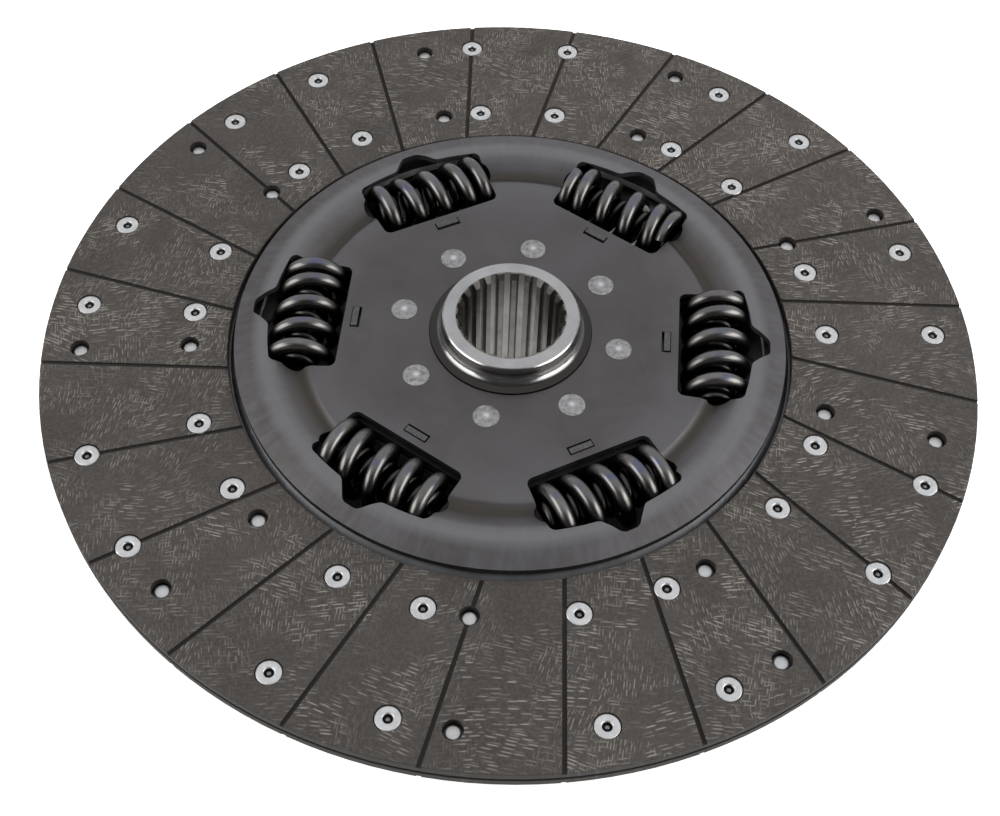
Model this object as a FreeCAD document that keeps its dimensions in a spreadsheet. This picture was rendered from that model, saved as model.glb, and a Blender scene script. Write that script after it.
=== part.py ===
import FreeCAD, Part
import math
import os
import Sketcher

# Dry clutch disc of a heavy truck, in millimetres.
# The frame's origin is the middle of the hub's rear end. +Z runs along the shaft towards the flywheel.
# Pieces turn about Z, and their heights are counted from the disc's middle plane, at middle_height.

SIZES = [
    ("hub_length", 70.0, "hub sleeve, end to end"),
    ("middle_height", 51.0, "middle plane of the disc above the hub's rear end"),
    ("spline_count", 24, "teeth of the hub spline"),
    ("spline_root", 25.4, "radius at the bottom of the spline spaces"),
    ("spline_tip", 23.0, "radius over the tips of the spline teeth"),
    ("spline_mouth", 3.7, "width of a spline space at the tooth tips"),
    ("spline_floor", 2.7, "width of a spline space at its bottom"),
    ("spline_phase", 5.5, "angle of the first spline space"),
    ("bore_chamfer", 1.7, "widening of the bore at both its ends"),
    ("bore_lead", 3.0, "length of the tapered lead-in at both ends of the bore"),
    ("nose_radius", 31.6, "hub in front of the flange"),
    ("neck_radius", 33.0, "hub behind the flange"),
    ("neck_chamfer", 1.5, "chamfer on the hub's rear end"),
    ("nose_chamfer", 0.7, "chamfer on the hub's front end"),
    ("pilot_radius", 37.5, "shoulders that centre the cover plates"),
    ("pilot_land", 0.5, "flat left on a pilot outside the round at its foot"),
    ("pilot_rise", 0.8, "edge of the front pilot above its cover plate"),
    ("pilot_slope", 1.2, "fall of the front pilot's face from the nose to its edge"),
    ("pilot_gap", 0.3, "clearance between a pilot and its cover plate"),
    ("flange_radius", 59.0, "hub flange"),
    ("flange_thickness", 10.4, "hub flange, which sets the covers apart"),
    ("hub_rivet_circle", 50.8, "pitch radius of the hub rivets"),
    ("hub_rivet_count", 8, "rivets through covers and flange"),
    ("hub_rivet_phase", 34.5, "angle of the first hub rivet"),
    ("hub_rivet_shank", 4.7, "shank radius of a hub rivet"),
    ("hub_rivet_head", 6.0, "head radius of a hub rivet"),
    ("hub_rivet_rise", 0.8, "head height of a hub rivet"),
    ("rivet_gap", 0.1, "clearance of a rivet in its hole"),
    ("cover_thickness", 3.0, "sheet of the two cover plates"),
    ("cover_radius", 127.3, "outer radius of the cover plates"),
    ("cover_flat", 94.0, "outer radius of the cover's flat middle"),
    ("valley_radius", 98.4, "bottom of the pressed valley"),
    ("valley_drop", 2.4, "depth of the valley below the flat"),
    ("bead_start", 109.5, "inner edge of the raised bead"),
    ("bead_end", 115.5, "outer edge of the bead's crest"),
    ("bead_rise", 3.7, "height of the bead above the flat"),
    ("brow_radius", 120.0, "crease outside the bead"),
    ("brow_rise", 2.2, "height of the crease above the flat"),
    ("lip_drop", 0.6, "drop of the outer edge below the flat"),
    ("bend_radius", 5.0, "rounding of the pressed bends"),
    ("window_count", 6, "spring windows"),
    ("window_phase", 57.0, "angle of the first spring window"),
    ("window_inner", 77.8, "straight inner edge of a cover window"),
    ("window_outer", 111.7, "round outer edge of a cover window"),
    ("window_half", 29.6, "half length of a window at its inner edge"),
    ("window_flare", 2.3, "extra half length at the cover window's outer edge"),
    ("window_corner", 3.5, "corner radius of the windows"),
    ("notch_reach", 119.8, "top of the notch in the window's outer edge"),
    ("notch_foot", 10.8, "half width of the notch at the window edge"),
    ("notch_top", 3.8, "half width of the notch at its top"),
    ("notch_corner", 4.2, "rounding of the notch, at its top and its feet"),
    ("ear_radius", 6.5, "round relief in each window end"),
    ("ear_reach", 33.6, "half length of a window over its two reliefs"),
    ("ear_place", 96.6, "distance of the reliefs from the axis"),
    ("slot_inner", 70.0, "inner edge of a lug slot"),
    ("slot_outer", 74.4, "outer edge of a lug slot"),
    ("slot_half", 6.0, "half length of a lug slot"),
    ("drive_thickness", 4.0, "sheet of the drive plate"),
    ("drive_radius", 124.0, "outer radius of the drive plate"),
    ("drive_gap", 0.3, "running clearance of the drive plate on the flange"),
    ("drive_window_inner", 78.6, "inner edge of a drive plate window"),
    ("drive_window_outer", 118.4, "outer edge of a drive plate window"),
    ("drive_corner", 1.5, "corner radius of the drive plate's windows"),
    ("coil_place", 96.0, "distance of a spring's axis from the disc's axis"),
    ("spring_gap", 0.3, "clearance between a spring and its window ends"),
    ("outer_wire", 6.4, "wire of the outer springs, across the flats"),
    ("outer_coil", 13.0, "mean coil radius of the outer springs"),
    ("outer_pitch", 13.4, "pitch of the outer springs' free turns"),
    ("inner_wire", 4.2, "wire of the inner springs, across the flats"),
    ("inner_coil", 7.2, "mean coil radius of the inner springs"),
    ("inner_pitch", 6.4, "pitch of the inner springs' free turns"),
    ("closed_turns", 0.95, "closed turns at each end of a spring"),
    ("closed_gap", 0.25, "gap between the closed turns"),
    ("ground_share", 0.19, "share of the wire left outside the first ground section"),
    ("facing_radius", 215.0, "outer radius of the facings"),
    ("facing_bore", 130.5, "inner radius of the facings"),
    ("facing_thickness", 4.0, "one facing"),
    ("facing_spread", 2.0, "space between the facings, taken up by the cushion"),
    ("facing_bevel", 0.4, "broken edges of the facings"),
    ("groove_count", 24, "grooves of a facing"),
    ("groove_offset", 25.0, "distance of a groove's line from the axis"),
    ("groove_width", 2.0, "groove"),
    ("groove_depth", 1.2, "groove"),
    ("groove_phase", 0.7, "direction of the first groove"),
    ("pad_count", 9, "repeats of the cushion and of the facing rivets"),
    ("land_pitch", 7.5, "angle from one cushion land to the next"),
    ("land_phase", 2.85, "angle of the first front land"),
    ("rivet_circle_inner", 148.0, "inner circle of facing rivets"),
    ("rivet_circle_outer", 198.0, "outer circle of facing rivets"),
    ("rivet_head", 5.5, "flange radius of a facing rivet"),
    ("rivet_flange", 1.2, "flange thickness of a facing rivet"),
    ("rivet_sink", 0.4, "flange below the facing's surface"),
    ("rivet_shank", 2.6, "shank radius of a facing rivet"),
    ("rivet_bore", 1.8, "hole through a facing rivet"),
    ("rivet_curl", 3.9, "radius of a facing rivet's rolled end"),
    ("curl_height", 1.0, "height of the rolled end"),
    ("button_radius", 3.3, "closed end of a rear facing's rivet"),
    ("button_height", 2.6, "height of the closed end"),
    ("button_chamfer", 0.5, "chamfer on the closed end"),
    ("seat_gap", 0.3, "clearance of a rivet's flange in its seat"),
    ("access_radius", 4.4, "hole over the other facing's rivets"),
    ("cushion_thickness", 0.9, "spring sheet between the facings"),
    ("cushion_radius", 213.0, "outer radius of the cushion"),
    ("cushion_rim", 0.4, "cushion sheet beyond the drive plate and its windows"),
    ("cushion_bend", 129.6, "end of the cushion's step down to the middle plane"),
    ("cushion_slot", 1.5, "half width of the slots between the pads"),
    ("root_radius", 134.0, "start of the slots and the waves"),
    ("wave_start", 141.0, "distance from the axis where the waves reach full height"),
    ("wave_slope", 4.0, "width of the slope between two lands"),
    ("punch_height", 10.0, "punches that open and trim the cushion"),
    ("tab_radius", 106.5, "inner end of the cushion's tabs"),
    ("tab_half", 12.5, "half angle of a tab"),
    ("cushion_rivet_circle", 112.5, "pitch radius of the cushion rivets"),
    ("cushion_rivet_step", 9.0, "angle between the rivets of a tab"),
    ("cushion_rivet_shank", 2.5, "shank radius of a cushion rivet"),
    ("cushion_rivet_head", 4.2, "head radius of a cushion rivet"),
    ("cushion_rivet_rise", 1.8, "head height of a cushion rivet"),
    ("friction_inner", 61.5, "inner radius of the friction pieces"),
    ("friction_outer", 69.3, "outer radius of the friction washer"),
    ("washer_thickness", 1.0, "front friction washer"),
    ("pressure_thickness", 1.2, "web of the front pressure ring"),
    ("lug_gap", 0.4, "clearance of a lug at its slot's outer edge"),
    ("lug_inner_gap", 1.2, "clearance of a lug at its slot's inner edge"),
    ("lug_end_gap", 0.6, "clearance of a lug at its slot's ends"),
    ("lug_rise", 0.5, "height of a lug above the cover plate"),
    ("disc_spring_thickness", 0.7, "sheet of the disc spring"),
]

# Starting turn of each spring, seen in the windows.
SPRING_TURNS = (225.0, 130.0, 148.0, 118.0, 5.0, 332.0)

doc = FreeCAD.newDocument("ClutchDisc")
sheet = doc.addObject("Spreadsheet::Sheet", "Sizes")
for row, (alias, number, note) in enumerate(SIZES, 1):
    sheet.set(f"A{row}", note)
    sheet.set(f"B{row}", str(number))
    sheet.setAlias(f"B{row}", alias)
doc.recompute()


class Size:
    """A size with its number and the sheet expression behind it, which keeps sketches bound to the sheet."""

    def __init__(self, number, formula=None):
        self.number = number
        self.formula = formula or f"({number!r})"

    def joined(self, sign, other, number):
        return Size(number, f"({self.formula} {sign} {other.formula})")

    def __add__(self, other):
        other = size_of(other)
        return self.joined("+", other, self.number + other.number)

    def __sub__(self, other):
        other = size_of(other)
        return self.joined("-", other, self.number - other.number)

    def __mul__(self, other):
        other = size_of(other)
        return self.joined("*", other, self.number * other.number)

    def __truediv__(self, other):
        other = size_of(other)
        return self.joined("/", other, self.number / other.number)

    def __neg__(self):
        return self * -1

    def __float__(self):
        return float(self.number)

    def root(self):
        return Size(math.sqrt(self.number), f"sqrt({self.formula})")

    def cosine(self):
        return Size(math.cos(math.radians(self.number)), f"cos({self.formula})")

    def sine(self):
        return Size(math.sin(math.radians(self.number)), f"sin({self.formula})")


def size_of(value):
    return value if isinstance(value, Size) else Size(value)


def sheet_size(alias):
    return Size(sheet.get(alias), f"Sizes.{alias}")


S = {alias: sheet_size(alias) for alias, number, note in SIZES}

# Sketches, bound to the sheet


def new_body(label):
    body = doc.addObject("PartDesign::Body", label)
    body.Label = label
    return body


def origin_item(body, role):
    return next(item for item in body.Origin.OriginFeatures if item.Role == role)


def sketch_on(body, role, name, right=0, up=0, lift=0, turn=0):
    """A sketch on one of the body's own planes, shifted in that plane and along its normal."""
    sketch = body.newObject("Sketcher::SketchObject", name)
    sketch.AttachmentSupport = [(origin_item(body, role), "")]
    sketch.MapMode = "FlatFace"
    if turn:
        normal = FreeCAD.Vector(0, 0, 1) if role == "XY_Plane" else FreeCAD.Vector(0, 1, 0)
        sketch.AttachmentOffset = FreeCAD.Placement(FreeCAD.Vector(), FreeCAD.Rotation(normal, turn))
    for axis, shift in (("x", right), ("y", up), ("z", lift)):
        sketch.setExpression(f"AttachmentOffset.Base.{axis}", size_of(shift).formula)
    return sketch


def bind(sketch, kind, places, size):
    """One dimension of a sketch, held by its expression."""
    index = sketch.addConstraint(Sketcher.Constraint(kind, *places, float(size)))
    sketch.setExpression(f"Constraints[{index}]", size.formula)


def outline(sketch, corners, round_sides=()):
    """A closed outline through the corners. Sides named by number are arcs about the sketch's origin."""
    corners = [(size_of(x), size_of(y)) for x, y in corners]
    sides = []
    for number, (x, y) in enumerate(corners):
        next_x, next_y = corners[(number + 1) % len(corners)]
        here = FreeCAD.Vector(float(x), float(y), 0)
        there = FreeCAD.Vector(float(next_x), float(next_y), 0)
        if number not in round_sides:
            sides.append((sketch.addGeometry(Part.LineSegment(here, there)), 1, 2))
            continue
        round_line = Part.Circle(FreeCAD.Vector(), FreeCAD.Vector(0, 0, 1), here.Length)
        angles = math.atan2(here.y, here.x), math.atan2(there.y, there.x)
        arc = sketch.addGeometry(Part.ArcOfCircle(round_line, min(angles), max(angles)))
        ends = (1, 2) if angles[0] < angles[1] else (2, 1)
        sides.append((arc, *ends))
        sketch.addConstraint(Sketcher.Constraint("Coincident", arc, 3, -1, 1))
        bind(sketch, "Radius", (arc,), (x * x + y * y).root())
    for number, (side, start, end) in enumerate(sides):
        before, _, before_end = sides[number - 1]
        sketch.addConstraint(Sketcher.Constraint("Coincident", before, before_end, side, start))
        x, y = corners[number]
        bind(sketch, "DistanceY", (-1, 1, side, start), y)
        if not {number, (number - 1) % len(sides)} & set(round_sides):
            bind(sketch, "DistanceX", (-1, 1, side, start), x)


def circle(sketch, radius, x=0, y=0):
    """A circle about a point of the sketch."""
    x, y = size_of(x), size_of(y)
    start = Part.Circle(FreeCAD.Vector(float(x), float(y), 0), FreeCAD.Vector(0, 0, 1), float(radius))
    index = sketch.addGeometry(start)
    bind(sketch, "Radius", (index,), radius)
    bind(sketch, "DistanceX", (-1, 1, index, 3), x)
    bind(sketch, "DistanceY", (-1, 1, index, 3), y)


def on_circle(radius, angle):
    """A point at an angle on a circle about the axis."""
    angle = size_of(angle)
    return radius * angle.cosine(), radius * angle.sine()


# Features of a body


def revolve(body, name, sketch):
    turned = body.newObject("PartDesign::Revolution", name)
    turned.Profile = sketch
    turned.ReferenceAxis = (sketch, ["V_Axis"])
    turned.Angle = 360
    body.Tip = turned
    return turned


def pad(body, name, sketch, length, down=False):
    raised = body.newObject("PartDesign::Pad", name)
    raised.Profile = sketch
    raised.setExpression("Length", size_of(length).formula)
    raised.Reversed = down
    body.Tip = raised
    return raised


def pocket(body, name, sketch, depth=None, up=False):
    """A cut from the sketch, downwards unless up, and right through both ways without a depth."""
    cut = body.newObject("PartDesign::Pocket", name)
    cut.Profile = sketch
    if depth is None:
        cut.Type = "ThroughAll"
        cut.SideType = "Symmetric"
    else:
        cut.setExpression("Length", size_of(depth).formula)
        cut.Reversed = up
    body.Tip = cut
    return cut


def around(body, name, features, count):
    """Repeats the features evenly about the body's Z axis."""
    pattern = body.newObject("PartDesign::PolarPattern", name)
    pattern.Originals = features
    pattern.Axis = (origin_item(body, "Z_Axis"), [""])
    pattern.Angle = 360
    pattern.setExpression("Occurrences", size_of(count).formula)
    body.Tip = pattern
    return pattern


def round_edges(body, name, base, radius, wanted):
    """Fillets the edges of a feature that the test picks out."""
    doc.recompute()
    edges = [f"Edge{n}" for n, edge in enumerate(base.Shape.Edges, 1) if wanted(edge)]
    fillet = body.newObject("PartDesign::Fillet", name)
    fillet.Base = (base, edges)
    fillet.setExpression("Radius", size_of(radius).formula)
    body.Tip = fillet
    return fillet


def is_ring(edge, radius, height=None):
    """True for a full circle about Z of this radius, at this height if one is given."""
    curve = edge.Curve
    if not isinstance(curve, Part.Circle) or abs(curve.Radius - float(radius)) > 0.01:
        return False
    return height is None or abs(curve.Center.z - float(height)) < 0.01


def is_upright_at(edge, spots):
    """True for a line along Z that passes one of the spots."""
    if not isinstance(edge.Curve, Part.Line) or abs(edge.tangentAt(edge.FirstParameter).z) < 0.999:
        return False
    foot = edge.Vertexes[0].Point
    return any(math.hypot(foot.x - x, foot.y - y) < 0.01 for x, y in spots)


def turned_spots(points, count, phase):
    """The points, repeated about the axis as plain numbers."""
    spots = []
    for step in range(int(count)):
        angle = math.radians(float(phase) + 360 * step / int(count))
        for x, y in points:
            x, y = float(x), float(y)
            east = x * math.cos(angle) - y * math.sin(angle)
            spots.append((east, x * math.sin(angle) + y * math.cos(angle)))
    return spots


def stand_at(body, angle, x=0, height=0):
    """Places a body by its turn about the axis and its distance from it."""
    body.Placement = FreeCAD.Placement(FreeCAD.Vector(), FreeCAD.Rotation(float(angle), 0, 0))
    east, north = on_circle(size_of(x), angle)
    body.setExpression("Placement.Base.x", east.formula)
    body.setExpression("Placement.Base.y", north.formula)
    body.setExpression("Placement.Base.z", size_of(height).formula)


# Heights that several pieces share

middle = S["middle_height"]
flange_half = S["flange_thickness"] / 2
cover_top = flange_half + S["cover_thickness"]
drive_half = S["drive_thickness"] / 2
spread_half = S["facing_spread"] / 2
facing_top = spread_half + S["facing_thickness"]
land_rise = spread_half - S["cushion_thickness"]
window_step = 360 / int(S["window_count"].number)
pad_step = 360 / int(S["pad_count"].number)


def make_hub():
    """Sleeve and flange turned in one piece, with the spline broached through the bore."""
    body = new_body("hub")
    rear, front = middle - flange_half, middle + flange_half
    pilot_rear, pilot_front = middle - cover_top, middle + cover_top
    shoulder = pilot_front + S["pilot_rise"]
    end, mouth, lead = S["hub_length"], S["spline_tip"] + S["bore_chamfer"], S["bore_lead"]
    section = sketch_on(body, "XZ_Plane", "hub_section")
    outline(section, [
        (S["spline_tip"], lead),
        (mouth, 0),
        (S["neck_radius"] - S["neck_chamfer"], 0),
        (S["neck_radius"], S["neck_chamfer"]),
        (S["neck_radius"], pilot_rear),
        (S["pilot_radius"], pilot_rear),
        (S["pilot_radius"], rear),
        (S["flange_radius"], rear),
        (S["flange_radius"], front),
        (S["pilot_radius"], front),
        (S["pilot_radius"], shoulder),
        (S["nose_radius"], shoulder + S["pilot_slope"]),
        (S["nose_radius"], end - S["nose_chamfer"]),
        (S["nose_radius"] - S["nose_chamfer"], end),
        (mouth, end),
        (S["spline_tip"], end - lead),
    ])
    turned = revolve(body, "hub_turned", section)
    flare = round_edges(
        body, "nose_round", turned, S["pilot_radius"] - S["nose_radius"] - S["pilot_land"],
        lambda edge: is_ring(edge, S["nose_radius"], shoulder + S["pilot_slope"]))
    round_edges(
        body, "neck_round", flare, S["pilot_radius"] - S["neck_radius"] - S["pilot_land"],
        lambda edge: is_ring(edge, S["neck_radius"], pilot_rear))

    # The space's sides are carried on into the open bore, as far again as the teeth are high.
    space = sketch_on(body, "XY_Plane", "spline_space")
    floor = S["spline_floor"] / 2
    opening, opening_half = S["spline_tip"] * 2 - S["spline_root"], S["spline_mouth"] - floor
    outline(space, [
        (opening, -opening_half),
        (S["spline_root"], -floor),
        (S["spline_root"], floor),
        (opening, opening_half),
    ])
    around(body, "spline", [pocket(body, "first_space", space)], S["spline_count"])

    hole = sketch_on(body, "XY_Plane", "rivet_hole")
    place = on_circle(S["hub_rivet_circle"], S["hub_rivet_phase"] - S["spline_phase"])
    circle(hole, S["hub_rivet_shank"] + S["rivet_gap"], *place)
    around(body, "rivet_holes", [pocket(body, "first_hole", hole)], S["hub_rivet_count"])
    stand_at(body, S["spline_phase"])
    return body


def make_cover(label, side):
    """Pressed cover plate: flat middle, valley, raised bead over the springs and a turned-down lip."""
    sheet_body = new_body(f"{label}_sheet")
    bends = [
        (S["pilot_radius"] + S["pilot_gap"], size_of(0)),
        (S["cover_flat"], size_of(0)),
        (S["valley_radius"], -S["valley_drop"]),
        (S["bead_start"], S["bead_rise"]),
        (S["bead_end"], S["bead_rise"]),
        (S["brow_radius"], S["brow_rise"]),
        (S["cover_radius"], -S["lip_drop"]),
    ]
    outside = [(radius, middle + (cover_top + rise) * side) for radius, rise in bends]
    inside = [(radius, middle + (flange_half + rise) * side) for radius, rise in bends]
    section = sketch_on(sheet_body, "XZ_Plane", f"{label}_section")
    outline(section, outside + inside[::-1])
    pressed = revolve(sheet_body, f"{label}_pressed", section)
    soft_bends = outside[1:5] + inside[1:5]
    round_edges(
        sheet_body, f"{label}_bends", pressed, S["bend_radius"],
        lambda edge: any(is_ring(edge, radius, height) for radius, height in soft_bends))

    cover = doc.addObject("Part::Cut", label)
    cover.Label = label
    cover.Base = sheet_body
    cover.Tool = make_cover_openings(label)
    return cover


def block(body, name, sketch, count):
    """Pads a sketch on the middle plane both ways and repeats it about the axis, as a punch."""
    punch = pad(body, name, sketch, S["cover_radius"] / 2)
    punch.SideType = "Symmetric"
    return around(body, f"{name}_all", [punch], count)


def make_cover_openings(label):
    """The punches of a cover plate: windows with their notches and reliefs, lug slots and rivet holes."""
    body = new_body(f"{label}_openings")
    count = S["window_count"].number
    half, outer = S["window_half"], S["window_outer"]
    wide = half + S["window_flare"]
    corner_x = (outer * outer - wide * wide).root()
    foot_x = (outer * outer - S["notch_foot"] * S["notch_foot"]).root()
    points = [
        (S["window_inner"], -half),
        (corner_x, -wide),
        (foot_x, -S["notch_foot"]),
        (S["notch_reach"], -S["notch_top"]),
        (S["notch_reach"], S["notch_top"]),
        (foot_x, S["notch_foot"]),
        (corner_x, wide),
        (S["window_inner"], half),
    ]
    window = sketch_on(body, "XY_Plane", f"{label}_window", lift=middle)
    outline(window, points, round_sides=(1, 5))
    windows = block(body, f"{label}_windows", window, S["window_count"])
    corners = turned_spots(points[:2] + points[6:], count, 0)
    rounded = round_edges(
        body, f"{label}_window_corners", windows, S["window_corner"],
        lambda edge: is_upright_at(edge, corners))
    bends = turned_spots(points[2:6], count, 0)
    round_edges(
        body, f"{label}_notch_bends", rounded, S["notch_corner"],
        lambda edge: is_upright_at(edge, bends))

    ears = sketch_on(body, "XY_Plane", f"{label}_ears", lift=middle)
    for end in (-1, 1):
        circle(ears, S["ear_radius"], S["ear_place"], (S["ear_reach"] - S["ear_radius"]) * end)
    block(body, f"{label}_reliefs", ears, S["window_count"])

    # The window edges are coined round the springs that they hold.
    coin = sketch_on(body, "XZ_Plane", f"{label}_coin")
    circle(coin, S["outer_coil"] + S["outer_wire"] / 2 + S["spring_gap"], S["coil_place"], middle)
    coined = pad(body, f"{label}_coining", coin, half * 2 - S["spring_gap"])
    coined.SideType = "Symmetric"
    around(body, f"{label}_coins", [coined], S["window_count"])

    slot = sketch_on(body, "XY_Plane", f"{label}_slot", lift=middle)
    outline(slot, [
        (S["slot_inner"], -S["slot_half"]),
        (S["slot_outer"], -S["slot_half"]),
        (S["slot_outer"], S["slot_half"]),
        (S["slot_inner"], S["slot_half"]),
    ])
    block(body, f"{label}_slots", slot, S["window_count"])

    hole = sketch_on(body, "XY_Plane", f"{label}_rivet_hole", lift=middle)
    place = on_circle(S["hub_rivet_circle"], S["hub_rivet_phase"] - S["window_phase"])
    circle(hole, S["hub_rivet_shank"] + S["rivet_gap"], *place)
    block(body, f"{label}_rivet_holes", hole, S["hub_rivet_count"])
    stand_at(body, S["window_phase"])
    return body


def make_drive_plate():
    """Flat plate that runs on the flange, holds the springs between the covers and carries the facings."""
    body = new_body("drive_plate")
    disc = sketch_on(body, "XY_Plane", "drive_disc", lift=middle - drive_half)
    circle(disc, S["drive_radius"])
    circle(disc, S["flange_radius"] + S["drive_gap"])
    pad(body, "drive_sheet", disc, S["drive_thickness"])

    window = sketch_on(body, "XY_Plane", "drive_window")
    half, inner, outer = S["window_half"], S["drive_window_inner"], S["drive_window_outer"]
    outer_x = (outer * outer - half * half).root()
    points = [(inner, -half), (outer_x, -half), (outer_x, half), (inner, half)]
    outline(window, points, round_sides=(1,))
    windows = around(body, "drive_windows", [pocket(body, "first_drive_window", window)], S["window_count"])
    corners = turned_spots(points, S["window_count"].number, 0)
    round_edges(
        body, "drive_corners", windows, S["drive_corner"],
        lambda edge: is_upright_at(edge, corners))

    holes = sketch_on(body, "XY_Plane", "cushion_rivet_holes")
    for angle in cushion_rivet_angles():
        place = on_circle(S["cushion_rivet_circle"], angle)
        circle(holes, S["cushion_rivet_shank"] + S["rivet_gap"], *place)
    around(body, "all_rivet_holes", [pocket(body, "first_holes", holes)], S["window_count"])
    stand_at(body, S["window_phase"])
    return body


def cushion_rivet_angles():
    """Rivet angles of the tab midway between the first two windows, counted from the first."""
    return [S["cushion_rivet_step"] * step + window_step / 2 for step in (-1, 0, 1)]


def axis_solid(body, name, corners, radius, angle):
    """A turned piece about its own upright axis, at a radius and an angle of the disc."""
    east, north = on_circle(radius, angle)
    section = sketch_on(body, "XZ_Plane", f"{name}_section", right=east, lift=-north)
    outline(section, corners)
    return revolve(body, name, section)


def make_hub_rivets():
    """Shouldered rivets with low heads on both covers."""
    body = new_body("hub_rivets")
    face, top = cover_top, cover_top + S["hub_rivet_rise"]
    crown = S["hub_rivet_head"] - S["hub_rivet_rise"]
    first = axis_solid(body, "hub_rivet", [
        (0, middle - top),
        (crown, middle - top),
        (S["hub_rivet_head"], middle - face),
        (S["hub_rivet_shank"], middle - face),
        (S["hub_rivet_shank"], middle + face),
        (S["hub_rivet_head"], middle + face),
        (crown, middle + top),
        (0, middle + top),
    ], S["hub_rivet_circle"], 0)
    around(body, "all_hub_rivets", [first], S["hub_rivet_count"])
    stand_at(body, S["hub_rivet_phase"])
    return body


def make_cushion_rivets():
    """Rivets that hold the cushion's tabs on the drive plate, three to a tab."""
    body = new_body("cushion_rivets")
    front = drive_half + S["cushion_thickness"]
    head, rise = S["cushion_rivet_head"], S["cushion_rivet_rise"]
    rivets = [axis_solid(body, f"cushion_rivet_{number}", [
        (0, middle - drive_half - rise),
        (head - rise / 2, middle - drive_half - rise),
        (head, middle - drive_half),
        (S["cushion_rivet_shank"], middle - drive_half),
        (S["cushion_rivet_shank"], middle + front),
        (head, middle + front),
        (head - rise / 2, middle + front + rise),
        (0, middle + front + rise),
    ], S["cushion_rivet_circle"], angle) for number, angle in enumerate(cushion_rivet_angles(), 1)]
    around(body, "all_cushion_rivets", rivets, S["window_count"])
    stand_at(body, S["window_phase"])
    return body


# Cushion and facings


def ring_angles():
    """Angles of the front facing's rivets in one repeat: the two front lands of a pad."""
    return [S["land_pitch"] * step for step in (0, 2)]


def button_angles():
    """Angle of the rear facing's rivets in one repeat: the rear land at the pad's end."""
    return [S["land_pitch"] * 3]


def rivet_places(angles):
    return [on_circle(S[circle_name], angle)
            for circle_name in ("rivet_circle_inner", "rivet_circle_outer") for angle in angles]


def wave_profile(radius, flat):
    """Closed section of the cushion sheet across a pad, with lands that touch the facings in turn."""
    middle_circle = (float(S["rivet_circle_inner"]) + float(S["rivet_circle_outer"])) / 2
    pitch = middle_circle * math.sin(math.radians(float(S["land_pitch"])))
    half = float(S["cushion_thickness"]) / 2
    rise = 0 if flat else float(spread_half) - half
    land_half = (pitch - float(S["wave_slope"])) / 2
    stations = []
    for land in range(-3, 3):
        centre, sign = (land + 0.5) * pitch, 1 if land % 2 == 0 else -1
        stations += [(centre - land_half, sign * rise), (centre + land_half, sign * rise)]
    upper = [FreeCAD.Vector(radius, y, float(middle) + z + half) for y, z in stations]
    lower = [FreeCAD.Vector(radius, y, float(middle) + z - half) for y, z in reversed(stations)]
    return Part.makePolygon(upper + lower + upper[:1])


def make_cushion_disc():
    """Spring-steel disc: tabs on the drive plate, a step down to the middle plane and nine waved pads."""
    root, start, end = (float(S[name]) for name in ("root_radius", "wave_start", "cushion_radius"))
    thickness, mid = float(S["cushion_thickness"]), float(middle)
    seat = mid + float(drive_half)

    # Base ring, turned from its section
    rim = float(S["cushion_rim"])
    flat_end, bend = float(S["drive_radius"]) + rim, float(S["cushion_bend"])
    low = mid - thickness / 2
    path = [(float(S["tab_radius"]), seat), (flat_end, seat), (bend, low), (root, low)]
    under = [FreeCAD.Vector(r, 0, z) for r, z in path]
    over = [FreeCAD.Vector(r, 0, z + thickness) for r, z in path[::-1]]
    section = Part.Face(Part.makePolygon(under + over + under[:1]))
    base = section.revolve(FreeCAD.Vector(), FreeCAD.Vector(0, 0, 1), 360)

    # Tabs stay between the windows. The ring is open under every spring.
    tab_gap = math.radians(window_step / 2 - float(S["tab_half"]))
    opening = sector(float(S["tab_radius"]) - rim, float(S["drive_window_outer"]) + rim, tab_gap)
    for step in range(int(S["window_count"].number)):
        base = base.cut(turned(opening, float(S["window_phase"]) + window_step * step))

    # One pad: a flat root on the ring's edge, a blend and straight waves, trimmed to its share of the ring
    slot_angle = math.asin(float(S["cushion_slot"]) / root)
    pad_half = math.radians(pad_step / 2) - slot_angle
    corner = root * math.cos(pad_half) - rim
    flat = Part.Face(wave_profile(corner, True)).extrude(FreeCAD.Vector(root - corner, 0, 0))
    blend = Part.makeLoft([wave_profile(root, True), wave_profile(start, False)], True, True)
    waves = Part.Face(wave_profile(start, False)).extrude(FreeCAD.Vector(end, 0, 0))
    first_pad = flat.fuse([blend, waves]).common(sector(root, end, pad_half))
    pad_middle = float(S["land_phase"]) + float(S["land_pitch"]) * 1.5
    pads = [turned(first_pad, pad_middle + pad_step * step) for step in range(int(S["pad_count"].number))]
    shape = base.fuse(pads)

    # Holes for both facings' rivets and for the rivets of the tabs
    tools = []
    places = rivet_places(ring_angles() + button_angles())
    for x, y in turned_spots(places, S["pad_count"].number, S["land_phase"]):
        tools.append(upright(x, y, float(S["rivet_shank"] + S["rivet_gap"])))
    places = [on_circle(S["cushion_rivet_circle"], angle) for angle in cushion_rivet_angles()]
    for x, y in turned_spots(places, S["window_count"].number, S["window_phase"]):
        tools.append(upright(x, y, float(S["cushion_rivet_shank"] + S["rivet_gap"])))
    feature = doc.addObject("Part::Feature", "cushion_disc")
    feature.Label = "cushion_disc"
    feature.Shape = shape.cut(tools).removeSplitter()
    return feature


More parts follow.
